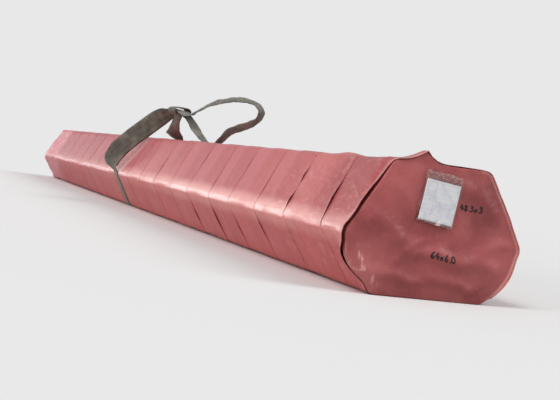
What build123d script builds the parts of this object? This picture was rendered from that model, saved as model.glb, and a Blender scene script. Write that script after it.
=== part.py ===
"""A wrapped bundle of steel pipes, as it comes from the mill.

Round steel pipes lie nested in a six-sided stack under steel bands. A cloth of woven
plastic closes each end, a strip of the same plastic is wound round the whole length,
a label hangs on the near end, and a web lifting sling is choked round the middle.

Millimetres. X runs along the pipes, with the labelled end at +X. Z is up. The origin is
on the floor, under the middle of the bundle.
"""

import os
from math import cos, radians, sin

from build123d import *

# Pipes
pipe_length = 6000.0
pipe_diameter = 48.3
pipe_wall = 3.2
pipe_gap = 0.3
top_row_count = 6
wide_row_count = 10
bottom_row_count = 7

# Steel bands round the bare pipes
band_count = 6
band_width = 32.0
band_thickness = 0.9
band_clearance = 29.0

# End cloths, each with a skirt that the wrap holds down; the far one shows beyond the wrap
cloth_thickness = 1.2
cloth_skirt = 250.0
cloth_pillow = 14.0
cloth_edge_radius = 11.0
far_cloth_shown = 530.0

# Wound wrap, with the air between its laps
wrap_thickness = 4.5
wrap_overhang = 5.0
fold_width = 88.0
fold_height = 27.0
fold_length = 150.0
fold_offset = -50.0
fold_tail_share = 0.5

# Clearance between layers that lie on each other
layer_gap = 0.3

# Label in its clear pocket, on the near end cloth
card_width = 99.0
card_height = 108.0
card_thickness = 0.4
pocket_wall = 0.4
pocket_border = 5.0
pocket_top = 22.0
label_side = -4.0
label_rise = 99.0
label_tilt = -7.0

# Lifting sling
sling_width = 90.0
sling_thickness = 3.0
sling_place = -170.0
sling_bite = 0.2
groove_room = 1.5
groove_rise = 25.0
choke_place = 150.0
choke_side = -62.0
choke_rise = 146.0
sling_end_y = 60.0
sling_lift = 2.0
tail_turn = 30.0
tail_length = 105.0
tail_sag = 7.0
tail_drop = 34.0
tail_reach = 18.0
keeper_reach = 35.0
keeper_length = 45.0
keeper_room = 9.0
keeper_drop = 6.0

# The lifting eye of folded web, as distances in front of the choke and heights above the top
eye_width = 45.0
eye_bend = 28.0
eye_outline = [
    (tail_length, 112.0),
    (250.0, 196.0),
    (420.0, 222.0),
    (540.0, 205.0),
    (585.0, 150.0),
    (500.0, 100.0),
    (370.0, 60.0),
    (320.0, 0.0),
    (230.0, 0.0),
    (150.0, 60.0),
]

# What follows from these
pipe_radius = pipe_diameter / 2
pitch = pipe_diameter + pipe_gap
row_rise = pitch * sin(radians(60))
skirt_offset = layer_gap + cloth_thickness
band_offset = layer_gap + band_thickness
wrap_inside = max(skirt_offset, band_offset) + layer_gap
wrap_outside = wrap_inside + wrap_thickness
rows_below = wide_row_count - bottom_row_count
rows_above = wide_row_count - top_row_count
wide_row_z = rows_below * row_rise + pipe_radius + wrap_outside
top_z = wide_row_z + rows_above * row_rise + pipe_radius + wrap_outside
half_width = (wide_row_count - 1) * pitch / 2 + pipe_radius + wrap_outside
pipe_end = pipe_length / 2
face_x = pipe_end + layer_gap + cloth_pillow
far_skirt = far_cloth_shown + cloth_skirt / 2
band_inset = max(cloth_skirt, far_skirt) + band_clearance + band_width / 2

# Row by row from the floor up: how many pipes, and the height of their centres
rows = [
    (wide_row_count - abs(level), wide_row_z + level * row_rise)
    for level in range(-rows_below, rows_above + 1)
]
pipe_centres = [
    ((place - (count - 1) / 2) * pitch, height)
    for count, height in rows
    for place in range(count)
]


def corner(count, height, side):
    """The centre of the last pipe of a row, on the left (-1) or the right (1)."""
    return (side * (count - 1) / 2 * pitch, height)


corners = [
    corner(*rows[0], -1),
    corner(*rows[0], 1),
    corner(*rows[rows_below], 1),
    corner(*rows[-1], 1),
    corner(*rows[-1], -1),
    corner(*rows[rows_below], -1),
]


def stretched_outline(distance, mode=Mode.ADD):
    """The outline of a skin pulled tight at this distance outside the pipes."""
    with BuildSketch(mode=Mode.PRIVATE) as skin:
        with BuildLine():
            Polyline(*corners, close=True)
        make_face()
        offset(amount=pipe_radius + distance, kind=Kind.ARC)
    add(skin.sketch, mode=mode)


os.makedirs("parts", exist_ok=True)


# Pipes
with BuildPart() as pipes:
    with BuildSketch(Plane.YZ.offset(-pipe_end)):
        with Locations(*pipe_centres):
            Circle(pipe_radius)
            Circle(pipe_radius - pipe_wall, mode=Mode.SUBTRACT)
    extrude(amount=pipe_length)

pipes.part.label = "pipes"
export_step(pipes.part, "parts/pipes.step")


# Steel bands
band_spacing = (pipe_length - 2 * band_inset) / (band_count - 1)
with BuildPart() as steel_bands:
    for band in range(band_count):
        band_x = -pipe_end + band_inset + band * band_spacing
        with BuildSketch(Plane.YZ.offset(band_x - band_width / 2)):
            stretched_outline(band_offset)
            stretched_outline(layer_gap, mode=Mode.SUBTRACT)
        extrude(amount=band_width)

steel_bands.part.label = "steel_bands"
export_step(steel_bands.part, "parts/steel_bands.step")


def build_end_cloth(side, skirt):
    """A cup of cloth over one end: a skirt along the pipes and a soft face in front of them."""
    skirt_start = Plane.YZ.offset(side * (pipe_end - skirt))
    with BuildPart() as cloth:
        with BuildSketch(skirt_start):
            stretched_outline(skirt_offset)
        extrude(amount=side * (skirt + layer_gap + cloth_pillow))
        face = cloth.faces().sort_by(Axis.X)[-1 if side > 0 else 0]
        fillet(face.edges(), radius=cloth_edge_radius)
        with BuildSketch(skirt_start):
            stretched_outline(layer_gap)
        extrude(amount=side * (skirt + layer_gap), mode=Mode.SUBTRACT)
    return cloth


near_end_cloth = build_end_cloth(1, cloth_skirt)
near_end_cloth.part.label = "near_end_cloth"
export_step(near_end_cloth.part, "parts/near_end_cloth.step")

far_end_cloth = build_end_cloth(-1, far_skirt)
far_end_cloth.part.label = "far_end_cloth"
export_step(far_end_cloth.part, "parts/far_end_cloth.step")


# Spiral wrap, with the groove that the sling bites and the pinched fold at the near end
wrap_start = far_cloth_shown - pipe_end
wrap_end = pipe_end + wrap_overhang
groove_depth = sling_thickness + sling_bite
with BuildPart() as spiral_wrap:
    with BuildSketch(Plane.YZ.offset(wrap_start)):
        stretched_outline(wrap_outside)
        stretched_outline(wrap_inside, mode=Mode.SUBTRACT)
    extrude(amount=wrap_end - wrap_start)

    groove_start = sling_place - sling_width / 2 - groove_room
    with BuildSketch(Plane.YZ.offset(groove_start)):
        stretched_outline(wrap_outside + layer_gap)
        stretched_outline(wrap_outside - groove_depth, mode=Mode.SUBTRACT)
        with Locations((0, wide_row_z + groove_rise)):
            Rectangle(
                2 * half_width, 2 * half_width, align=(Align.MAX, Align.MIN), mode=Mode.SUBTRACT
            )
    extrude(amount=sling_width + 2 * groove_room, mode=Mode.SUBTRACT)

    fold_root = top_z - wrap_thickness / 2
    with BuildSketch(Plane.YZ.offset(wrap_end)):
        with BuildLine():
            Polyline(
                (fold_offset - fold_width / 2, fold_root),
                (fold_offset + fold_width / 2, fold_root),
                (fold_offset, top_z + fold_height),
                close=True,
            )
        make_face()
    with BuildSketch(Plane.YZ.offset(wrap_end - fold_length)):
        with BuildLine():
            Polyline(
                (fold_offset - fold_width / 2 * fold_tail_share, fold_root),
                (fold_offset + fold_width / 2 * fold_tail_share, fold_root),
                (fold_offset, top_z + layer_gap),
                close=True,
            )
        make_face()
    loft(ruled=True)

spiral_wrap.part.label = "spiral_wrap"
export_step(spiral_wrap.part, "parts/spiral_wrap.step")


# Label: a card in a clear pocket that is open at the top
label_plane = Plane(
    origin=(face_x + layer_gap, label_side, wide_row_z + label_rise),
    x_dir=(0, cos(radians(label_tilt)), sin(radians(label_tilt))),
    z_dir=(1, 0, 0),
)
pocket_depth = card_thickness + 2 * pocket_wall + layer_gap
pocket_width = card_width + 2 * pocket_border
pocket_height = card_height + pocket_border + pocket_top
with BuildPart() as label_pocket:
    with BuildSketch(label_plane):
        with Locations((0, (pocket_top - pocket_border) / 2)):
            Rectangle(pocket_width, pocket_height)
    extrude(amount=pocket_depth)
    with BuildSketch(label_plane.offset(pocket_wall)):
        with Locations((0, pocket_top / 2)):
            Rectangle(card_width + layer_gap, card_height + pocket_top + layer_gap)
    extrude(amount=card_thickness + layer_gap, mode=Mode.SUBTRACT)

label_pocket.part.label = "label_pocket"
export_step(label_pocket.part, "parts/label_pocket.step")

with BuildPart() as label_card:
    with BuildSketch(label_plane.offset(pocket_wall + layer_gap / 2)):
        Rectangle(card_width, card_height)
    extrude(amount=card_thickness)

label_card.part.label = "label_card"
export_step(label_card.part, "parts/label_card.step")


# Lifting sling: round the bundle, up off the ridge to the choke, and over to its lifting eye
tail_z = top_z + choke_rise
lying_z = top_z + sling_lift
tail_ahead = (cos(radians(tail_turn)), sin(radians(tail_turn)), 0)
tail_across = (-sin(radians(tail_turn)), cos(radians(tail_turn)), 0)
tail_plane = Plane(origin=(choke_place, choke_side, 0), x_dir=tail_ahead, z_dir=Vector(tail_across) * -1)


# Cross-sections of the webbing along its loose runs. Each one is its place, as an offset from
# the end of the run that it is nearer to, then its width direction and its path direction
ridge_y = sling_thickness / 2 - half_width
keeper_z = tail_z - keeper_drop
keeper_floor = keeper_z - keeper_room - sling_thickness
ridge_point = (sling_place, ridge_y, wide_row_z)
choke_point = (choke_place, choke_side, tail_z)
ring_point = (sling_place, sling_end_y, top_z - sling_thickness / 2)
keeper_point = (
    choke_place + keeper_reach * tail_ahead[0],
    choke_side + keeper_reach * tail_ahead[1],
    keeper_floor,
)
leg_stations = [
    (ridge_point, (0, 0, 0), (1, 0, 0), (0, 0, 1)),
    (ridge_point, (8, -32, 40), (0.75, 0.55, -0.3), (0.4, 0.05, 0.9)),
    (ridge_point, (60, -22, 105), (0.3, 0.8, -0.55), (0.6, 0.35, 0.7)),
    (choke_point, (-130, -104, -104), (0.3, 0.8, -0.55), (0.65, 0.37, 0.66)),
    (choke_point, (0, 0, 0), tail_across, tail_ahead),
]
return_stations = [
    (ring_point, (0, 0, 0), (1, 0, 0), (0, -1, 0)),
    (ring_point, (2, -14, 6.5), (1, 0.1, 0), (0, -1, 0.5)),
    (ring_point, (45, -42, 23.5), (0.9, 0.45, 0), (0.5, -0.8, 0.5)),
    (keeper_point, (-110, 12, -62), (0.7, 0.7, -0.2), (0.75, -0.4, 0.5)),
    (keeper_point, (-14, 0, 0), (0.9, 0.4, 0), (0.4, -0.4, 0.8)),
]

with BuildPart() as lifting_sling:
    with BuildSketch(Plane.YZ.offset(sling_place - sling_width / 2)):
        stretched_outline(wrap_outside)
        stretched_outline(wrap_outside - sling_thickness, mode=Mode.SUBTRACT)
        with Locations((sling_end_y, wide_row_z)):
            Rectangle(
                2 * half_width, 2 * half_width, align=(Align.MAX, Align.MIN), mode=Mode.SUBTRACT
            )
    extrude(amount=sling_width)

    # The leg leaves the ridge, turns on edge and rises past the top edge to the choke
    for anchor, shift, across, along in leg_stations:
        with BuildSketch(Plane(origin=Vector(anchor) + Vector(shift), x_dir=across, z_dir=along)):
            Rectangle(sling_width, sling_thickness)
    loft(ruled=True)

    # The tail runs on to the lifting eye, which stands open on the top face
    with BuildSketch(tail_plane):
        with BuildLine():
            Spline(
                (-sling_thickness, tail_z),
                (tail_length / 2, tail_z - tail_sag),
                (tail_length + tail_reach, tail_z - tail_drop),
                tangents=((1, 0.1), (1, -0.4)),
            )
        trace(line_width=sling_thickness)
    extrude(amount=sling_width / 2, both=True)
    with BuildSketch(tail_plane):
        with BuildLine():
            FilletPolyline(
                *[(ahead, lying_z + height) for ahead, height in eye_outline],
                radius=eye_bend,
                close=True,
            )
        make_face()
        offset(amount=sling_thickness / 2, kind=Kind.ARC)
        offset(amount=-sling_thickness, kind=Kind.ARC, mode=Mode.SUBTRACT)
    extrude(amount=eye_width / 2, both=True)

    # The choking eye holds the tail, and its own end runs down to the part round the bundle
    keeper_plane = Plane(origin=keeper_point, x_dir=tail_across, z_dir=tail_ahead)
    with BuildSketch(keeper_plane):
        with Locations((0, keeper_z - keeper_floor)):
            RectangleRounded(
                sling_width + 2 * keeper_room + 2 * sling_thickness,
                2 * keeper_room + 3 * sling_thickness,
                keeper_room,
            )
            RectangleRounded(
                sling_width + 2 * keeper_room,
                2 * keeper_room + sling_thickness,
                keeper_room - sling_thickness,
                mode=Mode.SUBTRACT,
            )
    extrude(amount=keeper_length / 2, both=True)
    for anchor, shift, across, along in return_stations:
        with BuildSketch(Plane(origin=Vector(anchor) + Vector(shift), x_dir=across, z_dir=along)):
            Rectangle(sling_width, sling_thickness)
    loft(ruled=True)

lifting_sling.part.label = "lifting_sling"
export_step(lifting_sling.part, "parts/lifting_sling.step")
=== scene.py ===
"""Looks of a wrapped bundle of steel pipes: wound woven plastic, cloth-covered ends, a label
in its pocket, marker figures and a choked web lifting sling.

Metres. X runs along the pipes towards the labelled end, Z is up, the origin is on the floor.
"""

import bpy
import numpy as np
from mathutils import Matrix, Vector


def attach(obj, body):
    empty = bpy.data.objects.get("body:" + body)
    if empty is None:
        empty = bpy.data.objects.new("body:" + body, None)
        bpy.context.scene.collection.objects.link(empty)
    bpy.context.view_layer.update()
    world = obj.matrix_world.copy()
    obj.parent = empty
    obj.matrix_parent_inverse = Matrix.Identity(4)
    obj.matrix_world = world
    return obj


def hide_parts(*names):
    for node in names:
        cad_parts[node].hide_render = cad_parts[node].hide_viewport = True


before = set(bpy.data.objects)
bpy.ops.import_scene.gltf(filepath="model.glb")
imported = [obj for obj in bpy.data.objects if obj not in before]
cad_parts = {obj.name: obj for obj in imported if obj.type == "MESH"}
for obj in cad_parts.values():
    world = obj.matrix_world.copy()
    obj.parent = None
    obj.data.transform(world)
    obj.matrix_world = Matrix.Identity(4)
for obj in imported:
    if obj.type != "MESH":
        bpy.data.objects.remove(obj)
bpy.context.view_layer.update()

# ---- section of the bundle
PIPE_R = 0.02415
PITCH = 0.0486
RISE = PITCH * np.sin(np.radians(60))
WRAP_OUT = 0.0063
WIDE_Z = 3 * RISE + PIPE_R + WRAP_OUT
TOP_Z = WIDE_Z + 4 * RISE + PIPE_R + WRAP_OUT
END_X = 3.0
CORNERS = np.array([  # corner pipes, clockwise from the left ridge as seen from the near end
    (-4.5 * PITCH, WIDE_Z),
    (-2.5 * PITCH, WIDE_Z + 4 * RISE),
    (2.5 * PITCH, WIDE_Z + 4 * RISE),
    (4.5 * PITCH, WIDE_Z),
    (3.0 * PITCH, WIDE_Z - 3 * RISE),
    (-3.0 * PITCH, WIDE_Z - 3 * RISE),
])
MEAN_REACH = 0.005
ARC = (PIPE_R + MEAN_REACH) * np.radians(60)


def section_knots():
    """Length round the skin, pipe centre and normal angle at each change from flat to arc,
    from the middle of the left ridge, clockwise as seen from the near end."""
    length, turn = ARC / 2, 150.0
    rows = [(0.0, *CORNERS[0], 180.0), (length, *CORNERS[0], turn)]
    for i in range(1, 7):
        here, past = CORNERS[i % 6], CORNERS[i - 1]
        length += float(np.hypot(*(here - past)))
        rows.append((length, *here, turn))
        turn -= 60.0 if i < 6 else 30.0
        length += ARC if i < 6 else ARC / 2
        rows.append((length, *here, turn))
    return np.array(rows)


KNOTS = section_knots()
LOOP = KNOTS[-1, 0]
UP_LEFT = KNOTS[2, 0]
TOP_START = KNOTS[3, 0]
LOW_LEFT = KNOTS[11, 0]


def skin(x, way, reach):
    """A point on the skin: the pipe centre at this length round, plus the pipe's radius and the
    reach along the normal there."""
    y, z, turn = (np.interp(np.mod(way, LOOP), KNOTS[:, 0], column) for column in KNOTS[:, 1:].T)
    turn, out = np.radians(turn), PIPE_R + reach
    return np.stack(np.broadcast_arrays(x, y + out * np.cos(turn), z + out * np.sin(turn)), axis=-1)


def stations(step, bend):
    """Lengths round one loop: a point every step on the flats, and bend points on each arc."""
    parts = []
    for a, b, flat in zip(KNOTS[:-1, 0], KNOTS[1:, 0], np.diff(KNOTS[:, 3]) == 0):
        count = int(np.ceil((b - a) / step)) if flat else max(2, int(round(bend * (b - a) / ARC)))
        parts.append(np.linspace(a, b, count, endpoint=False))
    return np.concatenate(parts)


# ---- curves and meshes
def ripple(u, v, rows, seed):
    """Soft unevenness: a sum of sine waves over u and v. Each row is a height, waves per metre
    along u and along v, and how many waves of seeded direction and phase share them."""
    draw = np.random.default_rng(seed)
    total = np.zeros(np.broadcast(u, v).shape)
    for height, along_u, along_v, count in rows:
        for _ in range(count):
            fu, fv = draw.uniform(0.5, 1.5), draw.uniform(-1.5, 1.5)
            phase = draw.uniform(0, 2 * np.pi)
            total = total + height * np.sin(2 * np.pi * (fu * along_u * u + fv * along_v * v) + phase)
    return total


def ease(value, start, stop):
    """0 before start, 1 after stop, and a smooth cubic step between them."""
    k = np.clip((value - start) / (stop - start), 0.0, 1.0)
    return k * k * (3 - 2 * k)


def between(value, rise, full, drop, gone):
    """1 from full to drop, 0 before rise and after gone, and smooth steps between them."""
    return ease(value, rise, full) * (1 - ease(value, drop, gone))


def bump(value, middle, half):
    """A bell of height 1 round middle, which fades out over about half on each side."""
    return np.exp(-((value - middle) / half) ** 2)


def bells(value, rows):
    """The sum of some bells, each a middle, a half width and a height."""
    return sum(height * bump(value, middle, half) for middle, half, height in rows)


def add_object(name, data):
    """An object of this data in the scene."""
    made = bpy.data.objects.new(name, data)
    bpy.context.scene.collection.objects.link(made)
    return made


def make_piece(name, points, faces, plan=None):
    """A mesh object of these points and faces, smooth, with an optional plan (u, v) per point."""
    mesh = bpy.data.meshes.new(name)
    mesh.from_pydata(points.reshape(-1, 3).tolist(), [], faces)
    mesh.validate()
    if plan is not None:
        layer = mesh.uv_layers.new(name="plan")
        corner = np.empty(len(mesh.loops), dtype=np.int64)
        mesh.loops.foreach_get("vertex_index", corner)
        layer.data.foreach_set("uv", plan.reshape(-1, 2)[corner].ravel())
    mesh.shade_smooth()
    return add_object(name, mesh)


def thicken(piece, thickness, offset=-1.0):
    """Gives a sheet its thickness: behind the sheet, or on both sides of it at offset 0."""
    wall = piece.modifiers.new("thickness", "SOLIDIFY")
    wall.thickness = thickness
    wall.offset = offset
    return piece


def grid_faces(rows, columns, close_rows=False, close_columns=False, offset=0):
    """Quads between neighbours of a rows x columns grid, closed on itself where asked."""
    i = np.arange(rows if close_rows else rows - 1)[:, None]
    j = np.arange(columns if close_columns else columns - 1)[None, :]
    i2, j2 = (i + 1) % rows, (j + 1) % columns
    corners = (i * columns + j, i * columns + j2, i2 * columns + j2, i2 * columns + j)
    return (np.stack(corners, axis=-1).reshape(-1, 4) + offset).tolist()


def band_faces(rows, columns, ring=False):
    """A grid rolled up across its columns: a closed ring, or a band with a cap at each end."""
    faces = grid_faces(rows, columns, close_rows=ring, close_columns=True)
    if not ring:
        faces.append(list(range(columns))[::-1])
        faces.append([(rows - 1) * columns + j for j in range(columns)])
    return faces


# ---- woven strip wound round
STRIP = 0.45
TURN_X = 0.30  # advance of one turn along X
FACE_STEEP = 0.30  # metres along X per metre round, on the left faces
WRAP_NEAR = 3.005
WRAP_FAR = -2.47
STRIP_REACH = 0.0042
LAP_RISE = 0.0011  # step where a turn lies over the one before
EDGE_DROP = 0.0009  # droop of its free edge
STRIP_THICK = 0.0006
DRIFT = ([2, 3, 4, 5, 6, 7, 8, 30], [0, -0.015, -0.008, -0.006, 0.034, 0, 0, 0])  # turns, X
SLITS = [  # turn, metres round, half length, lift of the lip
    (2, 0.078, 0.045, 0.0060), (3, 0.050, 0.018, 0.0060), (3, 0.138, 0.018, 0.0042),
    (4, 0.090, 0.03, 0.0012), (5, 0.130, 0.03, 0.0010), (6, 0.060, 0.03, 0.0010),
    (7, 0.150, 0.03, 0.0010), (9, 0.080, 0.04, 0.0012), (3, 1.33, 0.03, 0.0026),
    (4, 1.30, 0.03, 0.0020), (5, 1.31, 0.04, 0.0036), (6, 1.30, 0.03, 0.0026),
]
SWELLS = [  # loose cloth at the near end: metres round, half width, height
    (LOOP - 0.078, 0.050, 0.019), (0.806, 0.062, 0.024), (0.62, 0.06, 0.004), (0.862, 0.034, 0.007),
]
LIP = [  # how far the wrap's end stands open: metres round, half width, height
    (0.10, 0.085, 0.0105), (0.0, 0.03, 0.0090), (LOOP, 0.03, 0.0090), (LOOP - 0.06, 0.045, 0.0060),
    (0.42, 0.05, 0.0020),
]
FOLD_Y, FOLD_HIGH = -0.0505, 0.031  # the pinched fold on the top
SLING_X = -0.170


def advance(way):
    """How far the strip has moved along X at this length round: steeper on the left faces."""
    up = FACE_STEEP * UP_LEFT
    low = FACE_STEEP * (LOOP - LOW_LEFT)
    return np.interp(way, [0, UP_LEFT, LOW_LEFT, LOOP], [0, up, TURN_X - low, TURN_X])


def near_edge(way):
    """X of the wrap's end: a shallow arc back along the lower left face, a lip that stands proud
    beside the fold and on the right, and an edge behind the rounding at the bottom."""
    back = 0.055 * between(LOOP - way, 0.002, 0.075, 0.095, 0.160) + 0.006 * bump(way, 0.19, 0.03)
    proud = between(way, 0.47, 0.53, 0.80, 0.88) + between(way, 0.215, 0.25, 0.300, 0.335)
    under = between(way, 0.86, 0.92, 1.20, 1.27)
    wavy = 0.0012 * np.sin(way * 40) + 0.0007 * np.sin(way * 131)
    return WRAP_NEAR - back + 0.0050 * proud - 0.012 * under + wavy


def loft_over_pipes(x, way):
    """Waves that every layer shares: slow swells, higher near the labelled end, and finer ones
    that run round with the strip."""
    lean = x + advance(np.mod(way, LOOP))
    slack = 1 + 0.6 * ease(x, 1.2, 2.6)
    slow = ripple(lean, way / LOOP, [(0.00024, 3.0, 2.0, 5)], 11)
    return slack * slow + ripple(lean, way / LOOP, [(0.00010, 12.0, 1.5, 5)], 12)


def near_swell(x, way):
    """How far the loose cloth stands out round the near end: SWELLS on the lower faces and the
    pinched fold on the top, which grow over the last 100 to 170 mm, a lump on the top, and a
    crease on the upper left that runs beside the edge towards the fold."""
    _, y, z = np.moveaxis(skin(0.0, way, 0.0), -1, 0)
    below = ease(-z, -0.030, -0.008)
    slack = (0.0012 + bells(way, SWELLS)) * (1 - below) + 0.0044 * below
    beside = y - FOLD_Y
    fold = FOLD_HIGH * np.exp(-np.abs(beside / np.where(beside < 0, 0.032, 0.023)) ** 1.2)
    lump = 0.008 * bump(x, 2.60, 0.06) * bump(y, -0.10, 0.02)
    on_top = ease(z, TOP_Z - 0.05, TOP_Z - 0.02)
    crease = 0.0040 * (bump(x, 2.945, 0.011) - bump(x, 2.970, 0.009))
    return slack * ease(x, END_X - 0.10, END_X - 0.012) + crease * between(way, 0.08, 0.14, 0.22, 0.25) \
        + on_top * (fold * ease(x, END_X - 0.17, END_X) ** 1.2 + lump)


def collar_gap(x, way):
    """The wrap's loose lip, which stands off the end cloth over the last 50 mm."""
    edge = near_edge(way)
    return (bells(way, LIP) - 0.0019) * ease(x, edge - 0.05, edge + 0.004) ** 1.3


def build_wrap():
    """The strip: along the winding t, in turns, and across its width w. X is the near end plus
    half a strip, less the advance, plus w. Its reach steps up over the turn beneath it, its
    near edge lifts, and the lower skin follows 0.6 mm inside, so the section is closed."""
    edge = STRIP / 2
    ways = stations(0.0145, 5)
    turns = np.arange(-1, 20)
    t = (turns[:, None] + ways[None, :] / LOOP).ravel()
    way = np.tile(ways, len(turns))
    turn = np.repeat(turns, len(ways))
    drift = np.interp(t, *DRIFT) + ripple(t, 0.0, [(0.0035, 0.9, 0, 3), (0.0012, 3.7, 0, 3)], 4)
    middle = WRAP_NEAR + edge - 0.04 - TURN_X * turn - advance(way) + drift
    high = np.minimum(edge, near_edge(way) - middle)
    low = np.maximum(-edge, WRAP_FAR - middle)
    first, last = np.flatnonzero(high - low > 0.004)[[0, -1]]
    t, way, turn, middle, high, low = (a[first:last + 1] for a in (t, way, turn, middle, high, low))
    high = np.maximum(high, low + 0.002)

    across = [*np.linspace(0, 0.55, 11)[:-1], *np.linspace(0.55, 0.9, 9)[:-1], *np.linspace(0.9, 1, 7)]
    w = low[:, None] + (high - low)[:, None] * np.array(across)
    x, around = middle[:, None] + w, way[:, None]
    reach = STRIP_REACH + LAP_RISE * ease(w, 0.040, 0.072) - EDGE_DROP * ease(w, edge - 0.022, edge)
    reach = reach + loft_over_pipes(x, around)
    lift = 0.0004 * np.clip(ripple(t, 0.0, [(0.5, 2.3, 0, 2), (0.5, 5.1, 0, 3)], 9) - 0.25, 0, 1)
    for number, place, half, height in SLITS:
        lift = lift + height * (turn == number) * bump(way, place, half) ** 0.8
    reach = reach + lift[:, None] * ease(w, edge - 0.035, edge) ** 1.5
    reach = reach + near_swell(x, around) + collar_gap(x, around)
    held = bump(x, SLING_X, 0.052) ** 0.5 * ease(around, 0.27, 0.29)  # pressed flat by the sling
    reach = reach + (np.minimum(reach, 0.0030) - reach) * np.clip(held * 1.4, 0, 1)

    back = [23, 20, 18, 15, 12, 10, 7, 4, 1]  # columns of the front that the back skin follows
    w_back = w[:, back]
    front_skin = skin(x, around, reach)
    back_skin = skin(middle[:, None] + w_back, around, reach[:, back] - STRIP_THICK)
    points = np.concatenate([front_skin, back_skin], axis=1)
    points[..., 2] = np.maximum(points[..., 2], 0.0004)
    w_all = np.concatenate([w, w_back], axis=1)
    run = np.broadcast_to(t[:, None] * LOOP, w_all.shape)
    plan = np.stack([run, w_all], axis=-1)
    return make_piece("wound_wrap", points, band_faces(*points.shape[:2]), plan)


# ---- end cloths
EDGE_TURNS = np.radians(150 - 60 * np.arange(6))
EDGE_NORMALS = np.stack([np.cos(EDGE_TURNS), np.sin(EDGE_TURNS)], axis=-1)
NEAR_SEED, FAR_SEED = 21, 41
CLOTH_REACH = 0.0012
RIM_RINGS = 8
FOLDS = [  # soft folds of the end cloth: from y, z to y, z, half width, height
    (-0.21, 0.212, -0.09, 0.152, 0.024, 0.0077), (-0.05, 0.122, 0.19, 0.096, 0.018, 0.0077),
    (0.05, 0.305, 0.22, 0.222, 0.026, 0.0069), (0.13, 0.135, 0.23, 0.170, 0.016, 0.0045),
    (-0.18, 0.060, -0.05, 0.048, 0.016, 0.0056), (0.02, 0.060, 0.15, 0.020, 0.014, 0.0044),
    (-0.14, 0.300, -0.08, 0.235, 0.018, 0.0044), (-0.10, 0.105, -0.03, 0.150, 0.011, 0.0028),
    (-0.215, 0.110, -0.16, 0.030, 0.010, 0.0050), (0.19, 0.085, 0.13, 0.040, 0.011, 0.0037),
]


def inset(y, z):
    """How far inside the stretched section a point lies: the least distance to its six sides."""
    gaps = [PIPE_R + ((a - y) * b + (c - z) * d) for (a, c), (b, d) in zip(CORNERS, EDGE_NORMALS)]
    return np.min(np.stack(gaps), axis=0)


def face_bulge(y, z, seed):
    """How far the end cloth stands in front of the pipe ends: a low pillow, soft folds along
    FOLDS, each a bell across its line, and slow swells, all calmer behind the label."""
    depth = np.clip(inset(y, z) / 0.06, 0, 1)
    calm = 1 - 0.75 * np.exp(-(((y + 0.004) / 0.075) ** 4) - (((z - WIDE_Z - 0.107) / 0.085) ** 4))
    folds = ripple(y + 0.35 * z, z, [(0.0009, 4, 2, 4), (0.0005, 10, 4, 5)], seed)
    for y0, z0, y1, z1, half, height in FOLDS:
        dy, dz = y1 - y0, z1 - z0
        run = np.hypot(dy, dz)
        along = ((y - y0) * dy + (z - z0) * dz) / run
        off = ((z - z0) * dy - (y - y0) * dz) / run + 0.006 * np.sin(along * 45 + seed)
        past = np.maximum(np.maximum(-along, along - run), 0)
        folds = folds + height * np.exp(-(off / half) ** 2 - (past / 0.035) ** 2)
    return 0.0050 + 0.0036 * depth ** 0.7 + folds * calm * np.clip(depth * 1.6, 0, 1)


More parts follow.
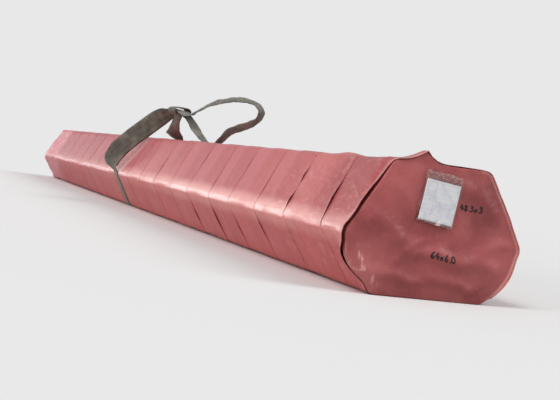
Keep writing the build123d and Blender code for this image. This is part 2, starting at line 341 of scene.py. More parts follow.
def build_end_cloth(name, side, skirt, seed):
    """A cup of cloth: rings of skin along the skirt, a rim that rounds over by a quarter circle,
    and rings that shrink towards the middle of the face, whose X comes from face_bulge. The
    attribute rim says where the rounding gets a painted highlight."""
    near = side > 0
    ways = stations(0.011, 6)
    if near:
        swell = near_swell(END_X, ways)
    else:
        swell = 0.0035 + bells(ways, [(LOOP - 0.06, 0.06, 0.006), (0.8, 0.09, 0.004)]) \
            + ripple(ways / LOOP, 0.0, [(0.0016, 7, 0, 3), (0.0008, 17, 0, 3)], 45)
    left = 1 - ease(ways, 0.17, 0.24) + ease(ways, 0.95, 1.20)
    rim = 0.0018 + 0.0027 * left + swell * (0.06 + 1.04 * bump(LOOP - ways, 0.08, 0.07))
    flare = END_X - 0.16
    runs = [*np.linspace(END_X - skirt, flare, 5 if near else 44)[:-1],
            *np.linspace(flare, END_X - 0.012, 12)]
    _, rim_y, rim_z = np.moveaxis(skin(0.0, ways, CLOTH_REACH + swell - rim), -1, 0)
    top = face_bulge(rim_y, rim_z, seed) + END_X
    rings = []
    for x in runs:
        grow = ease(x, END_X - 0.13, END_X - 0.02)
        wave = ripple(x, ways / LOOP, [(0.0014, 2.2, 4, 4), (0.0008, 6, 7, 4)], seed + 1)
        shown = ease(x, 2.48, 2.54)
        out = near_swell(x, ways) if near else swell * grow + wave * (1 - grow) * shown
        rings.append(skin(side * x, ways, np.maximum(CLOTH_REACH + out, 0.0008)))
    for a in np.linspace(0, np.pi / 2, RIM_RINGS):
        reach = CLOTH_REACH + swell - rim * (1 - np.cos(a))
        x = np.maximum(top - rim * (1 - np.sin(a)), END_X - 0.010 + 0.004 * a)
        rings.append(skin(side * x, ways, reach))
    edge = rings[-1]
    middle = np.array([0.0, WIDE_Z + 0.01])
    for k in np.linspace(1, 0, 30)[1:-1] ** 1.05:
        yz = middle + (edge[:, 1:] - middle) * k
        x = side * (END_X + face_bulge(yz[:, 0], yz[:, 1], seed))
        rings.append(np.column_stack([x, yz]))
    points = np.stack(rings)
    points[..., 2] = np.maximum(points[..., 2], 0.0005)
    rows, columns = points.shape[:2]
    centre = [side * (END_X + float(face_bulge(middle[:1], middle[1:], seed)[0])), *middle]

    sides = len(runs)
    plan = points[..., 1:].copy()
    plan[:sides, :, 0] = ways
    plan[:sides, :, 1] = points[:sides, :, 0]
    last = (rows - 1) * columns
    j = np.arange(columns)
    fan = np.stack([last + j, last + (j + 1) % columns, np.full(columns, rows * columns)], axis=-1)
    faces = grid_faces(rows, columns, close_columns=True) + fan.tolist()
    if near:
        faces = [face[::-1] for face in faces]
    all_points = np.vstack([points.reshape(-1, 3), centre])
    all_plan = np.vstack([plan.reshape(-1, 2), centre[1:]])
    cloth = make_piece(name, all_points, faces, all_plan)

    # pale: where a painted highlight lies on the rim's rounding, on the right side and round the left ridge
    pale = np.zeros(len(all_points))
    if near:
        right_rim_highlight = between(ways, 0.46, 0.52, 0.84, 0.90)
        outer = 0.5 * (bump(ways, 0.0, 0.03) + bump(LOOP - ways, 0.05, 0.05))
        outermost = np.linspace(1, -2, RIM_RINGS).clip(0)[:, None]
        start = sides * columns
        pale[start:start + RIM_RINGS * columns] = (right_rim_highlight + outer * outermost).ravel()
    cloth.data.attributes.new("rim", "FLOAT", "POINT").data.foreach_set("value", pale)
    return thicken(cloth, 0.0007)


# ---- label, pocket and figures
TILT = np.radians(-7.0)
LABEL_AT = np.array([END_X + 0.0146, -0.004, WIDE_Z + 0.099])
LABEL_X = np.array([0, np.cos(TILT), np.sin(TILT)])
LABEL_Y = np.array([0, -np.sin(TILT), np.cos(TILT)])
CARD_U, CARD_V = 0.0495, 0.054
POCKET_U, POCKET_LOW, POCKET_TOP = 0.0545, -0.059, 0.076


def on_label(u, v, height):
    """A point u along and v up the label's own plane, at this height in front of it."""
    u, v, height = (a[..., None] for a in np.broadcast_arrays(u, v, height))
    return LABEL_AT + u * LABEL_X + v * LABEL_Y + height * (1, 0, 0)


def build_card():
    """The card: a grid over its width and height, bowed by a millimetre, then given thickness."""
    u, v = np.meshgrid(np.linspace(-CARD_U, CARD_U, 25), np.linspace(-CARD_V, CARD_V, 27))
    bow = 0.0009 + 0.0007 * (u / 0.05) ** 2 + 0.0003 * np.sin(v * 60 + 1)
    plan = np.stack([u, v], axis=-1)
    return thicken(make_piece("label_card_sheet", on_label(u, v, bow), grid_faces(*u.shape), plan), 0.0003)


def build_pocket():
    """The clear pocket: two films, front and back, joined round their edge. The front film
    swells in front of the card and is crumpled above it, where the pocket is empty."""
    u, v = np.meshgrid(np.linspace(-POCKET_U, POCKET_U, 56), np.linspace(POCKET_LOW, POCKET_TOP, 70))
    border = np.minimum.reduce([u + POCKET_U, POCKET_U - u, v - POCKET_LOW, POCKET_TOP - v])
    inside = ease(border, 0.0, 0.006)
    empty = ease(v, 0.050, 0.060)
    low = ease(-v, 0.046, 0.056)
    crumple = np.abs(ripple(u, v, [(0.0008, 22, 18, 5), (0.0005, 48, 44, 6)], 31))
    front = 0.0006 + inside * (0.0013 + crumple * (0.35 + 1.5 * empty + 1.2 * low))
    uneven = 0.0012 * ripple(u, v, [(1.0, 9, 9, 3)], 8) * (border < 0.002)
    films = [on_label(u + uneven, v + uneven, height) for height in (front, 0.0002 + 0 * u)]
    rows, columns = u.shape
    count = rows * columns
    faces = grid_faces(rows, columns)
    faces += [face[::-1] for face in grid_faces(rows, columns, offset=count)]
    number = np.arange(count).reshape(rows, columns)
    rim = np.concatenate([number[0], number[1:, -1], number[-1, -2::-1], number[-2:0:-1, 0]])
    after = np.roll(rim, -1)
    faces += np.stack([after, rim, rim + count, after + count], axis=-1).tolist()
    points = np.concatenate([film.reshape(-1, 3) for film in films])
    plan = np.concatenate([np.stack([u, v], axis=-1).reshape(-1, 2)] * 2)
    return make_piece("label_pocket_film", points, faces, plan)


FIGURES = {  # strokes of hand-drawn figures in a cell one high, as rows of points
    "0": [[(0.3, 0.98), (0.05, 0.7), (0.08, 0.2), (0.32, 0.0), (0.56, 0.25), (0.55, 0.75), (0.3, 0.98)]],
    "3": [[(0.08, 0.93), (0.5, 0.95), (0.28, 0.58), (0.55, 0.35), (0.35, 0.02), (0.05, 0.1)]],
    "4": [[(0.38, 1.0), (0.05, 0.38), (0.62, 0.36)], [(0.46, 0.65), (0.42, 0.0)]],
    "6": [[(0.45, 1.0), (0.12, 0.5), (0.12, 0.12), (0.4, 0.0), (0.55, 0.25), (0.3, 0.48), (0.1, 0.3)]],
    "8": [[(0.32, 0.52), (0.1, 0.76), (0.32, 1.0), (0.54, 0.78), (0.1, 0.24), (0.32, 0.0), (0.56, 0.24),
           (0.32, 0.52)]],
    ".": [[(0.2, 0.0), (0.28, 0.06)]],
    "x": [[(0.08, 0.55), (0.5, 0.05)], [(0.5, 0.58), (0.05, 0.03)]],
}
PEN_HALF = 0.0025


def build_figures(name, text, start, height, slope, seed):
    """Marker figures: each stroke is a ribbon up to 5 mm wide on the end cloth, whose points take
    their X from face_bulge, so that the ink lies on the folds."""
    draw = np.random.default_rng(seed)
    points, faces, across, first = [], [], start[0], 0
    for letter in text:
        for stroke in FIGURES[letter]:
            line = np.array(stroke) * height + draw.normal(0, height * 0.02, (len(stroke), 2))
            chord = np.concatenate([[0], np.cumsum(np.hypot(*np.diff(line, axis=0).T))])
            steps = np.linspace(0, chord[-1], max(6, int(chord[-1] / 0.0016)))
            flow = np.column_stack([np.interp(steps, chord, axis) for axis in line.T])
            soft = np.copy(flow)
            soft[1:-1] = (flow[:-2] + 2 * flow[1:-1] + flow[2:]) / 4
            tangent = np.gradient(soft, axis=0)
            side = np.stack([-tangent[:, 1], tangent[:, 0]], axis=-1)
            side /= np.maximum(np.hypot(*side.T), 1e-9)[:, None]
            half = PEN_HALF * (1 - 0.35 * draw.random(len(soft)))[:, None]
            pair = np.stack([soft - side * half, soft + side * half], axis=1)
            y = across + pair[..., 0]
            z = start[1] + pair[..., 1] + slope * (y - start[0])
            x = END_X + face_bulge(y, z, NEAR_SEED) + 0.00025
            points.append(np.stack([x, y, z], axis=-1).reshape(-1, 3))
            faces += [[first + i + k for k in (2, 3, 1, 0)] for i in range(0, 2 * len(soft) - 2, 2)]
            first += 2 * len(soft)
        across += height * (0.34 if letter == "." else 0.74)
    return thicken(make_piece(name, np.vstack(points), faces), 0.0002, 0.0)


# ---- lifting sling
WEB_HALF = 0.045
WEB_THICK = 0.003
RING_Y = 0.085  # where the web meets the top face
RING_REACH = 0.0047
CHOKE = np.array([0.150, -0.062, TOP_Z + 0.146])
LYING_Z = TOP_Z + 0.002
AHEAD = np.array([np.cos(np.radians(30)), np.sin(np.radians(30)), 0.0])
ACROSS = np.array([-AHEAD[1], AHEAD[0], 0.0])
LEG = [  # from the ridge up to the choke: place, width direction, looseness, share of the width
    (-0.162, -0.2796, 0.1967, 0.75, 0.55, -0.3, 0.6, 1),
    (-0.110, -0.2697, 0.2617, 0.3, 0.8, -0.55, 1, 1),
    (-0.048, -0.226, 0.328, 0.3, 0.8, -0.55, 1, 1),
    (0.020, -0.166, 0.3975, 0.3, 0.8, -0.55, 1, 1),
    (0.085, -0.110, 0.460, 0.0, 0.85, -0.45, 1, 1),
]
RETURN = [  # from the choking eye down to the top face, in the same way
    (0.1663, -0.0445, 0.4835, 0.9, 0.4, 0, 1, 0.5),
    (0.125, -0.042, 0.460, 0.85, 0.45, -0.1, 1, 0.5),
    (0.0703, -0.0325, 0.4215, 0.8, 0.55, -0.2, 1, 0.6),
    (-0.025, -0.007, 0.393, 0.85, 0.5, -0.1, 1, 0.85),
    (-0.125, 0.018, 0.3775, 0.9, 0.45, 0, 1, 1),
    (-0.160, 0.040, 0.3640, 0.98, 0.2, 0, 0.5, 1),
    (SLING_X, 0.066, TOP_Z + 0.0002, 1, 0, 0, 0, 1),
]
EYE = [  # ahead of the choke, above the top face, looseness, share of the width, lean
    (0.055, 0.137, 1, 1.0, 0), (0.100, 0.122, 1, 0.75, 0.2), (0.150, 0.142, 1, 0.55, 0.6),
    (0.250, 0.188, 1, 0.5, 0.9), (0.335, 0.207, 1, 0.5, 0.9), (0.420, 0.217, 1, 0.5, 0.7),
    (0.490, 0.211, 1, 0.5, 0.4), (0.545, 0.194, 1, 0.5, 0.1), (0.570, 0.166, 1, 0.5, 0),
    (0.560, 0.138, 1, 0.5, 0), (0.520, 0.113, 1, 0.5, -0.4), (0.440, 0.083, 1, 0.5, -0.7),
    (0.380, 0.060, 1, 0.5, -0.5), (0.345, 0.028, 1, 0.5, -0.2), (0.315, 0.005, 0.4, 0.5, 0),
    (0.275, 0.0015, 0.2, 0.5, 0), (0.235, 0.005, 0.4, 0.5, 0), (0.190, 0.032, 1, 0.5, 0.3),
    (0.155, 0.060, 1, 0.5, 0.6), (0.122, 0.092, 1, 0.5, 0.4), (0.095, 0.111, 1, 0.55, 0.2),
    (0.055, 0.126, 1, 0.8, 0), (0.030, 0.131, 1, 0.8, 0),
]


def flow_through(points, step):
    """A smooth run through points: cubic Hermite pieces by chord length, resampled evenly."""
    points = np.asarray(points, dtype=float)
    spans = np.linalg.norm(np.diff(points[:, :3], axis=0), axis=1)
    chord = np.concatenate([[0], np.cumsum(spans)])
    slope = np.gradient(points, chord, axis=0)
    at = np.linspace(0, chord[-1], int(chord[-1] / step) + 2)
    k = np.clip(np.searchsorted(chord, at, side="right") - 1, 0, len(chord) - 2)
    width = (chord[k + 1] - chord[k])[:, None]
    u = (at - chord[k])[:, None] / width
    return (2 * u**3 - 3 * u**2 + 1) * points[k] + (u**3 - 2 * u**2 + u) * width * slope[k] \
        + (3 * u**2 - 2 * u**3) * points[k + 1] + (u**3 - u**2) * width * slope[k + 1]


def build_web(name, rows, half, thick, curl, seed, step=0.006, ring=False):
    """Webbing: rows of place, width direction, looseness and share of the full width, joined by
    flow_through. The section is a flat band with round edges, which gets thicker as it is folded
    narrower and is bowed across by curl, and it ends in a cut that is closed."""
    line = flow_through(rows, step)[:-1 if ring else None]
    place, wide, loose, share = line[:, :3], line[:, 3:6], line[:, 6:7], line[:, 7:8]
    if ring:
        tangent = np.roll(place, -1, axis=0) - np.roll(place, 1, axis=0)
    else:
        tangent = np.gradient(place, axis=0)
    tangent /= np.linalg.norm(tangent, axis=1)[:, None]
    wide = wide - tangent * np.sum(wide * tangent, axis=1)[:, None]
    wide /= np.linalg.norm(wide, axis=1)[:, None]
    normal = np.cross(wide, tangent)
    top = np.linspace(-1, 1, 13)
    v = np.concatenate([top, top[::-1][1:-1]])
    side = np.repeat([1, -1], [len(top), len(top) - 2])
    body = (1 - np.abs(v) ** 10) * side * thick / 2 * (1 + 2.0 * (1 - share))
    run = np.concatenate([[0], np.cumsum(np.linalg.norm(np.diff(place, axis=0), axis=1))])[:, None]
    bow = loose * curl * (v**2 - 0.4)
    bow = bow + loose * ripple(run, v, [(0.0006, 9, 0.5, 3), (0.0004, 22, 0.8, 3)], seed)
    edge = v * half * share
    points = place[:, None] + wide[:, None] * edge[..., None] + normal[:, None] * (body + bow)[..., None]
    points[..., 2] = np.maximum(points[..., 2], 0.0003)
    plan = np.stack(np.broadcast_arrays(run, v * half), axis=-1)
    return make_piece(name, points, band_faces(*points.shape[:2], ring=ring), plan)


def in_front(ahead, height, loose, share, lean):
    """A row of the tail or eye: a place so far in front of the choke and above the top face, with
    the width leaning upwards by lean."""
    place = CHOKE * (1, 1, 0) + AHEAD * ahead + (0, 0, LYING_Z + height)
    return (*place, *(ACROSS + (0, 0, lean)), loose, share)


def sling_rows():
    """The webbing from the choking eye down to the top face, round the bundle in its groove, up
    the leg, over the choke and round the lifting eye."""
    first = TOP_START + (RING_Y + 2.5 * PITCH)
    ends = enumerate(zip(KNOTS[:-1, 0], KNOTS[1:, 0]))
    ways = np.concatenate([np.linspace(a, b, 5 if i % 2 else 4, endpoint=False) for i, (a, b) in ends])
    ways = [*ways[(ways > first) & (ways < LOOP - 0.003)], LOOP - 0.001]
    ring = [(*point, 1, 0, 0, 0, 1) for point in skin(SLING_X, np.array(ways), RING_REACH)]
    return [*RETURN, *ring, *LEG, (*CHOKE, *ACROSS, 1, 1), *[in_front(*row) for row in EYE]]


def build_leg_ply():
    """The second ply that is sewn along the leg: a narrower band on the leg's outer side."""
    rows = []
    for row in [*LEG[1:], (*CHOKE, *ACROSS, 1, 1)]:
        wide = np.array(row[3:6]) / np.linalg.norm(row[3:6])
        out = np.cross(wide, (0.6, 0.4, 0.68))
        out /= np.linalg.norm(out)
        rows.append((*(np.array(row[:3]) + out * 0.0032), *row[3:8]))
    return build_web("sling_leg_ply", rows, 0.0435, 0.003, 0.003, 61)


def build_choking_eye():
    """The small eye round the tail: a closed band, 52 mm wide, on a rounded rectangle."""
    turn = np.linspace(0, 2 * np.pi, 41)
    wide = 0.0535 * np.sign(np.cos(turn)) * np.abs(np.cos(turn)) ** 0.5
    rise = 0.0165 * np.sign(np.sin(turn)) * np.abs(np.sin(turn)) ** 0.75
    middle = CHOKE + AHEAD * 0.035 + (0, 0, -0.006)
    rows = [(*(middle + ACROSS * a + (0, 0, b)), *AHEAD, 1.0, 1.0) for a, b in zip(wide, rise)]
    return build_web("choking_eye", rows, 0.026, 0.0055, 0.0012, 71, step=0.004, ring=True)


# ---- node helpers
def linear(red, green, blue):
    """A colour read off a screen, 0 to 255, as the linear values that a shader takes."""
    c = np.array([red, green, blue]) / 255
    return (*np.where(c <= 0.04045, c / 12.92, ((c + 0.055) / 1.055) ** 2.4).tolist(), 1.0)


def join(tree, target, values):
    """A node whose inputs get these plain values, or links from these sockets."""
    for key, value in values.items():
        if isinstance(value, bpy.types.NodeSocket):
            tree.links.new(value, target.inputs[key])
        else:
            target.inputs[key].default_value = value
    return target


def node(tree, kind, values=None, **settings):
    """A shader node with its settings and its inputs."""
    made = tree.nodes.new("ShaderNode" + kind)
    for key, value in settings.items():
        setattr(made, key, value)
    return join(tree, made, values or {})


def calc(tree, operation, *values):
    """A math node's result."""
    return node(tree, "Math", dict(enumerate(values)), operation=operation).outputs[0]


def times(tree, first, second):
    """Two values multiplied."""
    return calc(tree, "MULTIPLY", first, second)


def mixture(tree, *terms):
    """The sum of some values, each times its own share."""
    total = times(tree, *terms[0])
    for term in terms[1:]:
        total = calc(tree, "ADD", total, times(tree, *term))
    return total


def tint(tree, factor, first, second):
    """Two colours mixed by a factor."""
    return node(tree, "Mix", {0: factor, 6: first, 7: second}, data_type="RGBA").outputs[2]


def coats(tree, base, *pairs):
    """A colour with others laid over it in turn, each a factor and a colour off a screen."""
    for factor, colour in pairs:
        base = tint(tree, factor, base, linear(*colour))
    return base


def fade(tree, value, low, high, to_low=0.0, to_high=1.0):
    """A value stretched from low..high to to_low..to_high, smooth and held at both ends."""
    values = {"Value": value, "From Min": low, "From Max": high, "To Min": to_low, "To Max": to_high}
    return node(tree, "MapRange", values, interpolation_type="SMOOTHSTEP").outputs[0]


def axes(tree, vector):
    """The three parts of a vector."""
    return node(tree, "SeparateXYZ", {0: vector}).outputs


def distance(tree, vector, spot):
    """How far a vector's place is from a spot."""
    return node(tree, "VectorMath", {0: vector, 1: spot}, operation="DISTANCE").outputs["Value"]


def scaled(tree, vector, scale):
    """A vector times another, part by part."""
    return node(tree, "VectorMath", {0: vector, 1: scale}, operation="MULTIPLY").outputs[0]


def noise(tree, vector, scale, detail, rough=0.5, twist=0.0):
    """Cloudy noise round 0.5."""
    values = {"Vector": vector, "Scale": scale, "Detail": detail, "Roughness": rough, "Distortion": twist}
    return node(tree, "TexNoise", values).outputs[0]


def bumped(tree, height, strength=1.0):
    """The normal that a relief, in metres, gives a surface."""
    return node(tree, "Bump", {"Height": height, "Distance": 1.0, "Strength": strength}).outputs[0]


def own_plan(tree):
    """The piece's own UV map: metres along and across the cloth."""
    return node(tree, "UVMap", uv_map="plan").outputs[0]


def own_place(tree):
    """The piece's Object coordinates, which are the shared frame's."""
    return node(tree, "TexCoord").outputs["Object"]


# ---- effects shared by materials
def new_group(name, inputs, outputs):
    """An empty shader node group with these sockets, its inputs' sockets and its output node."""
    tree = bpy.data.node_groups.new(name, "ShaderNodeTree")
    for way, sockets in (("INPUT", inputs), ("OUTPUT", outputs)):
        for label, kind in sockets.items():
            tree.interface.new_socket(label, in_out=way, socket_type="NodeSocket" + kind)
    return tree, tree.nodes.new("NodeGroupInput").outputs, tree.nodes.new("NodeGroupOutput")


def use(tree, group, values):
    """The outputs of a node group that is placed with these inputs."""
    return node(tree, "Group", values, node_tree=group).outputs


def tape_weave():
    """Flat tapes woven over and under: the product of two sines whose half wave is one tape."""
    inputs = {"Vector": "Vector", "Tape": "Float"}
    tree, entry, end = new_group("tape weave", inputs, {"Height": "Float"})
    u, v, _ = axes(tree, entry["Vector"])
    waves = [calc(tree, "SINE", calc(tree, "DIVIDE", times(tree, part, np.pi), entry["Tape"]))
             for part in (u, v)]
    join(tree, end, {"Height": calc(tree, "ABSOLUTE", times(tree, *waves))})
    return tree


def film_creases():
    """Creases of a stiff film: ridged noise drawn out along u, with a finer crumple over it, the
    ridges as lines and the tops of the crumple as spots."""
    inputs = {"Vector": "Vector", "Stretch": "Vector", "Seed": "Float"}
    outputs = {"Height": "Float", "Line": "Float", "Spot": "Float"}
    tree, entry, end = new_group("film creases", inputs, outputs)
    move = scaled(tree, entry["Vector"], entry["Stretch"])
    shift = node(tree, "VectorMath", {0: move, 1: entry["Seed"]}, operation="ADD").outputs[0]
    swing = times(tree, calc(tree, "SUBTRACT", noise(tree, shift, 1.0, 2.0), 0.5), 7.0)
    ridge = calc(tree, "SUBTRACT", 1.0, calc(tree, "ABSOLUTE", swing))
    ridge = calc(tree, "MAXIMUM", ridge, 0.0)
    fine = noise(tree, shift, 3.7, 4.0, 0.6)
    join(tree, end, {
        "Height": mixture(tree, (calc(tree, "POWER", ridge, 2.0), 0.30), (fine, 0.9)),
        "Line": calc(tree, "POWER", ridge, 6.0),
        "Spot": fade(tree, fine, 0.54, 0.70),
    })
    return tree


def handling_marks():
    """Dust and scuffs: cloudy patches and small spots that lighten a colour."""
    inputs = {"Vector": "Vector", "Color": "Color", "Dust": "Color", "Amount": "Float", "Scale": "Float"}
    tree, entry, end = new_group("handling marks", inputs, {"Color": "Color", "Patch": "Float"})
    patch = fade(tree, noise(tree, entry["Vector"], entry["Scale"], 5.0, 0.6), 0.42, 0.72)
    spots = fade(tree, noise(tree, entry["Vector"], 95.0, 2.0), 0.60, 0.74)
    both = times(tree, calc(tree, "MAXIMUM", patch, times(tree, spots, 0.6)), entry["Amount"])
    join(tree, end, {"Color": tint(tree, both, entry["Color"], entry["Dust"]), "Patch": patch})
    return tree


WEAVE, CREASES, MARKS = tape_weave(), film_creases(), handling_marks()
TAPE = 0.0025  # width of the woven tapes


def creases(tree, vector, stretch, seed):
    """Film creases placed on these coordinates."""
    return use(tree, CREASES, {"Vector": vector, "Stretch": stretch, "Seed": seed})


def marks(tree, colour, dust, amount, scale):
    """Handling marks placed over a colour, with dust of a colour off a screen."""
    return use(tree, MARKS, {
        "Vector": own_place(tree), "Color": colour, "Dust": linear(*dust), "Amount": amount, "Scale": scale,
    })


def weave(tree, tape=TAPE):
    """The height of a weave placed along the piece's own plan."""
    return use(tree, WEAVE, {"Vector": own_plan(tree), "Tape": tape})["Height"]


# ---- materials
def new_material(name):
    """A material, its node tree and its Principled BSDF."""
    made = bpy.data.materials.new(name)
    made.use_nodes = True
    return made, made.node_tree, made.node_tree.nodes["Principled BSDF"]


def wrap_material():
    """Coated woven strip: salmon pink, deeper where turns overlap, with painted shade beside the
    edge of each turn that lies over another, painted shade near the collar and towards the far
    end, deeper red and creased upright on the lower faces with painted shade along the creases,
    pale wear and a painted highlight on the left ridge, a painted highlight at its lips, long soft
    dents, crinkles with painted glints near the end, a fine weave and a soft shine."""
    made, tree, shader = new_material("salmon woven strip")
    plan, place = own_plan(tree), own_place(tree)
    across = axes(tree, plan)[1]
    along, aside, height = axes(tree, place)
    low = fade(tree, height, WIDE_Z + 0.004, WIDE_Z - 0.012)
    near = fade(tree, along, 1.7, 2.8)
    # pale wear and a painted highlight along the left ridge, stronger towards the labelled end
    ridge = times(tree, fade(tree, aside, -0.222, -0.243), fade(tree, along, -1.0, 1.5, 0.25, 1.0))
    # painted shade on the upper left face near the collar
    from_collar_shade = distance(tree, place, (2.86, -0.150, 0.330))
    # lip: a painted highlight on the lips of the turns and along the wrap's near end
    lip = fade(tree, across, 0.2185, 0.2243, 0.0, 0.4)
    lip = calc(tree, "MAXIMUM", lip, fade(tree, along, 2.970, 3.004, 0.0, 0.60))
    base = coats(
        tree, linear(196, 104, 109),
        (near, (193, 98, 98)),
        # darker towards the far end: painted shade that tones down the sheen there
        (fade(tree, along, -0.2, -2.0), (174, 74, 90)),
        (fade(tree, across, 0.050, 0.080, 0.0, 0.45), (174, 76, 77)),
        # painted shade beside the edge of the next turn, which lies over this part
        (fade(tree, across, -0.070, -0.095, 0.0, 0.22), (150, 70, 74)),
        (ridge, (242, 176, 170)),
        (fade(tree, from_collar_shade, 0.34, 0.06, 0.0, 0.60), (150, 68, 70)),
        (lip, (226, 150, 146)),
    )
    dents = creases(tree, plan, (11.0, 4.6, 1.0), 3.0)
    crinkles_and_glints = creases(tree, plan, (15.0, 5.5, 1.0), 8.0)
    upright = creases(tree, plan, (3.2, 9.0, 1.0), 6.0)
    streaks = creases(tree, plan, (5.0, 9.0, 1.0), 11.0)
    marked = marks(tree, base, (208, 128, 124), 0.4, 3.2)
    # deeper red on the lower faces
    deeper_below = calc(tree, "MAXIMUM", times(tree, low, calc(tree, "SUBTRACT", 0.5, lip)), 0.0)
    colour = coats(
        tree, marked["Color"],
        (deeper_below, (204, 88, 86)),
        # painted shade along the upright creases of the lower faces
        (times(tree, upright["Line"], fade(tree, low, 0.0, 1.0, 0.05, 0.16)), (146, 60, 62)),
        # painted glints on the crinkles near the labelled end
        (times(tree, crinkles_and_glints["Spot"], fade(tree, along, 2.0, 2.75, 0.0, 0.30)), (232, 164, 158)),
        (times(tree, streaks["Spot"], 0.13), (226, 158, 156)),
    )
    relief = mixture(
        tree,
        (dents["Height"], fade(tree, near, 0.0, 1.0, 0.0012, 0.0038)),
        (crinkles_and_glints["Height"], fade(tree, near, 0.0, 1.0, 0.0002, 0.0007)),
        (upright["Height"], fade(tree, low, 0.0, 1.0, 0.0004, 0.0022)),
        (weave(tree), 0.00004),
    )
    join(tree, shader, {
        "IOR": 1.5,
        "Specular IOR Level": 0.45,
        "Base Color": colour,
        "Roughness": fade(tree, marked["Patch"], 0.0, 1.0, 0.29, 0.42),
        "Normal": bumped(tree, relief, 0.8),
    })
    return made


FACE_LIGHT_AND_SHADE = [  # painted light and shade on the near face: y, z, how far they spread, colour
    (-0.130, 0.300, 0.13, (190, 102, 100)), (0.185, 0.130, 0.11, (186, 100, 99)),
    (0.120, 0.275, 0.11, (128, 58, 60)),
]


def end_cloth_material():
    """Coated woven cloth: a dusty red at the near end and the strip's pink at the far one, softly
    mottled, with painted light and shade in places on the near face, painted shade towards the
    bottom, a painted highlight on the rounding of the rim, painted light and glints in the
    crumpled lower left corner, and a dull shine."""
    made, tree, shader = new_material("dusty red end cloth")
    plan, place = own_plan(tree), own_place(tree)
    along, _, height = axes(tree, place)
    cloud = noise(tree, place, 7.5, 3.0, 0.5, 0.5)
    rim = node(tree, "Attribute", attribute_name="rim").outputs["Fac"]
    corner = fade(tree, distance(tree, place, (END_X, -0.200, 0.062)), 0.085, 0.02)
    base = coats(
        tree, linear(146, 67, 69),
        (fade(tree, cloud, 0.32, 0.68), (172, 86, 86)),
        # lighter and darker places on the near face: painted light and shade
        *((fade(tree, distance(tree, place, (END_X, y, z)), spread, 0.02, 0.0, 0.65), colour)
          for y, z, spread, colour in FACE_LIGHT_AND_SHADE),
        # darker towards the bottom: painted shade
        (fade(tree, height, 0.15, 0.0, 0.0, 0.55), (122, 54, 56)),
        (fade(tree, along, -2.0, -2.4), (208, 128, 136)),
        # painted highlight on the rounding of the rim
        (times(tree, rim, 0.8), (236, 176, 170)),
    )
    soft = creases(tree, plan, (6.0, 3.2, 3.2), 5.0)
    fine = creases(tree, plan, (24.0, 16.0, 16.0), 2.0)
    crumple = creases(tree, place, (12.0, 17.0, 7.0), 1.0)
    colour = coats(
        tree, marks(tree, base, (186, 106, 104), 0.35, 9.0)["Color"],
        # painted light and painted glints on the crumpled lower left corner
        (times(tree, corner, 0.40), (204, 122, 118)),
        (times(tree, times(tree, crumple["Spot"], corner), 0.7), (240, 180, 172)),
    )
    relief = mixture(tree, (soft["Height"], 0.0060), (fine["Height"], 0.0011), (weave(tree), 0.00005))
    join(tree, shader, {
        "IOR": 1.48,
        "Base Color": colour,
        "Roughness": fade(tree, cloud, 0.3, 0.7, 0.34, 0.46),
        "Normal": bumped(tree, relief, 0.8),
    })
    return made


def webbing_material():
    """Worn webbing: grey olive, ribbed along its length, dark at the edges and along two rows of
    stitches, with pale wear on its folds."""
    made, tree, shader = new_material("grey sling webbing")
    plan = own_plan(tree)
    across = axes(tree, plan)[1]
    rib = calc(tree, "SINE", times(tree, across, 2 * np.pi / 0.0045))
    out = calc(tree, "ABSOLUTE", across)
    from_seam = calc(tree, "ABSOLUTE", calc(tree, "SUBTRACT", out, 0.017))
    folds = creases(tree, plan, (7.0, 26.0, 1.0), 7.0)
    base = coats(
        tree, linear(80, 80, 71),
        (fade(tree, rib, -0.6, 0.8), (110, 108, 97)),
        (fade(tree, out, 0.034, 0.043, 0.0, 0.6), (60, 58, 54)),
        (fade(tree, from_seam, 0.0035, 0.0015, 0.0, 0.5), (62, 66, 58)),
        (times(tree, folds["Spot"], 0.4), (150, 146, 134)),
    )
    relief = mixture(tree, (rib, 0.0003), (weave(tree, 0.0022), 0.0004), (folds["Height"], 0.0030))
    join(tree, shader, {
        "Roughness": 0.85,
        "Sheen Weight": 0.2,
        "Sheen Roughness": 0.6,
        "Base Color": marks(tree, base, (160, 152, 140), 0.5, 14.0)["Color"],
        "Normal": bumped(tree, relief, 0.9),
    })
    return made


def card_material():
    """White card with the faint ruled rows and column of a form, and no words."""
    made, tree, shader = new_material("white ruled card")
    plan = own_plan(tree)
    u, v, _ = axes(tree, plan)
    wave = calc(tree, "ABSOLUTE", calc(tree, "SINE", times(tree, v, np.pi / 0.012)))
    from_column = calc(tree, "ABSOLUTE", calc(tree, "SUBTRACT", u, -0.018))
    rule = calc(tree, "MAXIMUM", fade(tree, wave, 0.0, 0.14, 1.0, 0.0),
                fade(tree, from_column, 0.0003, 0.0009, 1.0, 0.0))
    cloud = fade(tree, noise(tree, plan, 40.0, 4.0), 0.4, 0.65)
    layers = (cloud, (210, 217, 226)), (times(tree, rule, 0.45), (150, 162, 184))
    join(tree, shader, {"Roughness": 0.6, "Base Color": coats(tree, linear(228, 232, 236), *layers)})
    return made


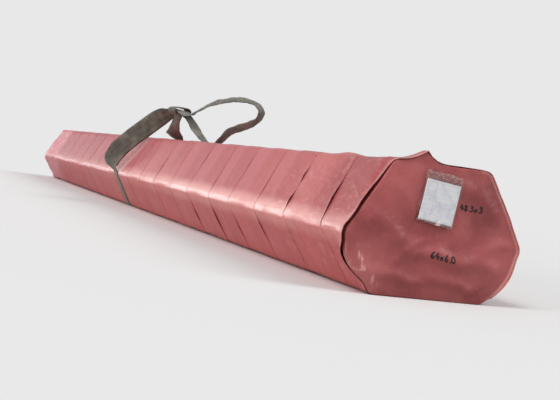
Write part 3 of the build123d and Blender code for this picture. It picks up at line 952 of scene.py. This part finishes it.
def film_material():
    """Thin clear film: mostly see-through, glossy, whitened along its sharp crumples, murky where
    the pocket is empty, with a painted highlight at its lower edge."""
    made, tree, shader = new_material("clear pocket film")
    plan = own_plan(tree)
    crease = creases(tree, plan, (42.0, 36.0, 1.0), 4.0)
    up = axes(tree, plan)[1]
    empty = calc(tree, "MAXIMUM", fade(tree, up, 0.050, 0.058), fade(tree, up, -0.050, -0.056))
    white = times(tree, fade(tree, crease["Line"], 0.3, 1.0), fade(tree, empty, 0.0, 1.0, 0.08, 0.26))
    from_low_highlight = distance(tree, plan, (0.010, -0.053, 0.0))
    opaque = calc(tree, "ADD", white, fade(tree, empty, 0.0, 1.0, 0.06, 0.30))
    colour = coats(
        tree, linear(205, 184, 182),
        (times(tree, empty, 0.7), (150, 118, 114)),
        # painted highlight at the pocket's lower edge
        (fade(tree, from_low_highlight, 0.011, 0.005), (246, 240, 240)),
    )
    join(tree, shader, {
        "Roughness": 0.14,
        "IOR": 1.5,
        "Alpha": calc(tree, "MAXIMUM", opaque, fade(tree, from_low_highlight, 0.010, 0.004, 0.0, 0.75)),
        "Base Color": colour,
        "Normal": bumped(tree, times(tree, crease["Height"], 0.0012)),
    })
    return made


def ink_material():
    """Dry black marker that lets a little red through where the cloth's ribs are missed."""
    made, tree, shader = new_material("marker ink")
    grain = fade(tree, noise(tree, own_place(tree), 420.0, 2.0), 0.52, 0.7)
    colour = coats(tree, linear(30, 18, 22), (grain, (84, 42, 46)))
    join(tree, shader, {"Roughness": 0.55, "Base Color": colour})
    return made


def steel_material(name, dark, light, rough):
    """Mill steel: a blotchy oiled skin, brushed along X, rougher where it is dull."""
    made, tree, shader = new_material(name)
    place = own_place(tree)
    lines = noise(tree, scaled(tree, place, (3.0, 160.0, 160.0)), 1.0, 4.0)
    blotch = noise(tree, place, 9.0, 5.0)
    mask = times(tree, calc(tree, "ADD", lines, blotch), 0.5)
    join(tree, shader, {
        "Metallic": 1.0,
        "Base Color": coats(tree, linear(*dark), (fade(tree, mask, 0.35, 0.65), light)),
        "Roughness": fade(tree, blotch, 0.3, 0.7, rough, rough + 0.2),
        "Normal": bumped(tree, times(tree, lines, 0.0001)),
    })
    return made


# ---- assembly
def dress(piece, material, slot, *nodes):
    """Gives a piece its material, makes it ride, and hides the nodes it stands for. Its slot is not used.
    """
    piece.data.materials.append(material)
    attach(piece, "root")
    if nodes:
        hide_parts(*nodes)


wrap = build_wrap()
near_cloth = build_end_cloth("near_cloth", 1, 0.25, NEAR_SEED)
far_cloth = build_end_cloth("far_cloth", -1, 0.655, FAR_SEED)
end_cloth = end_cloth_material()
dress(wrap, wrap_material(), "woven_wrap", "spiral_wrap")
dress(near_cloth, end_cloth, "end_cloth", "near_end_cloth")
dress(far_cloth, end_cloth, "end_cloth", "far_end_cloth")
dress(build_card(), card_material(), "label_paper", "label_card")
dress(build_pocket(), film_material(), "clear_film", "label_pocket")
ink = ink_material()
for name, text, start, height, slope, seed in (
    ("marker_figures_top", "48.3x3", (0.060, WIDE_Z + 0.086), 0.016, -0.03, 5),
    ("marker_figures_low", "64x6.0", (-0.009, WIDE_Z - 0.046), 0.018, -0.12, 6),
):
    dress(build_figures(name, text, start, height, slope, seed), ink, "end_cloth")
webbing = webbing_material()
sling = build_web("sling_web", sling_rows(), WEB_HALF, WEB_THICK, 0.004, 51)
dress(sling, webbing, "sling_webbing", "lifting_sling")
dress(build_leg_ply(), webbing, "sling_webbing")
dress(build_choking_eye(), webbing, "sling_webbing")

for name, material in (
    ("pipes", steel_material("oiled pipe steel", (96, 96, 98), (168, 168, 166), 0.3)),
    ("steel_bands", steel_material("blued band steel", (48, 52, 60), (92, 96, 104), 0.35)),
):
    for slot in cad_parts[name].material_slots:
        slot.material = material


# ---- floor, light and camera
BACKDROP = linear(232, 232, 233)


def build_floor():
    """A round floor, which fades into the plain backdrop far from the bundle, and throws less
    light back at the bundle than it shows."""
    turn = np.linspace(0, 2 * np.pi, 64, endpoint=False)
    radius = np.array([0.5, 2, 5, 9, 14, 20, 30])[:, None]
    points = np.stack([radius * np.cos(turn), radius * np.sin(turn), 0 * radius * turn], axis=-1)
    faces = grid_faces(len(radius), len(turn), close_columns=True)
    faces.append(list(range(len(turn)))[::-1])
    floor = make_piece("floor", points, [face[::-1] for face in faces])
    made, tree, shader = new_material("pale floor")
    join(tree, shader, {"Roughness": 0.9, "Base Color": linear(222, 222, 222)})
    out = node(tree, "VectorMath", {0: own_place(tree)}, operation="LENGTH").outputs["Value"]
    glow = node(tree, "Emission", {"Color": BACKDROP})
    seen = node(tree, "LightPath").outputs["Is Camera Ray"]
    given = node(tree, "BsdfDiffuse", {"Color": linear(184, 178, 176)})
    shown = node(tree, "MixShader", {0: seen, 1: given.outputs[0], 2: shader.outputs[0]})
    far = times(tree, fade(tree, out, 4.0, 11.0), seen)
    mixed = node(tree, "MixShader", {0: far, 1: shown.outputs[0], 2: glow.outputs[0]})
    join(tree, tree.nodes["Material Output"], {"Surface": mixed.outputs[0]})
    floor.data.materials.append(made)


def build_backdrop():
    """The world: even grey light on the object, and a pale backdrop where it is seen."""
    world = bpy.data.worlds.new("studio")
    bpy.context.scene.world = world
    world.use_nodes = True
    tree = world.node_tree
    tree.nodes.clear()
    path = node(tree, "LightPath").outputs
    seen = calc(tree, "MAXIMUM", path["Is Camera Ray"], path["Is Transmission Ray"])
    light = node(tree, "Background", {"Color": (1, 1, 1, 1), "Strength": 0.40})
    shown = node(tree, "Background", {"Color": BACKDROP})
    mixed = node(tree, "MixShader", {0: seen, 1: light.outputs[0], 2: shown.outputs[0]})
    node(tree, "OutputWorld", {"Surface": mixed.outputs[0]})


def add_lamp(name, towards, energy, degrees, shine=True):
    """A distant lamp, so many degrees wide, in this direction, with or without a highlight."""
    lamp = bpy.data.lights.new(name, "SUN")
    lamp.energy, lamp.angle = energy, np.radians(degrees)
    made = add_object(name, lamp)
    made.location = Vector(towards).normalized() * 8
    made.visible_glossy = shine
    made.rotation_euler = Vector(towards).to_track_quat("Z", "Y").to_euler()


def add_camera():
    """The camera, turned a little so that the bundle sits in the picture as in the photo."""
    ahead = Vector((-0.9295, 0.3649, 0.0542)).normalized()
    right = ahead.cross(Vector((0.0043, -0.1362, 0.9907))).normalized()
    up = right.cross(ahead)
    ahead = (ahead - 0.0601 * right - 0.0761 * up).normalized()
    right = ahead.cross(up).normalized()
    up = right.cross(ahead)
    lens = bpy.data.cameras.new("camera")
    lens.lens = 77.0
    lens.sensor_width = 36.0
    lens.clip_end = 200.0
    camera = add_object("camera", lens)
    turn = Matrix((right, up, -ahead)).transposed()
    camera.matrix_world = Matrix.Translation((5.813, -1.376, 0.298)) @ turn.to_4x4()
    bpy.context.scene.camera = camera


build_floor()
build_backdrop()
add_lamp("key", (0.9, -1.6, 3.0), 1.22, 28)
add_lamp("left fill", (0.18, -1.0, 0.06), 2.10, 45, shine=False)
add_lamp("right fill", (0.45, 0.75, 0.80), 1.45, 35)
add_lamp("far window", (-0.95, -0.32, 0.08), 0.22, 18)
add_camera()
bpy.context.scene.view_settings.view_transform = "Standard"
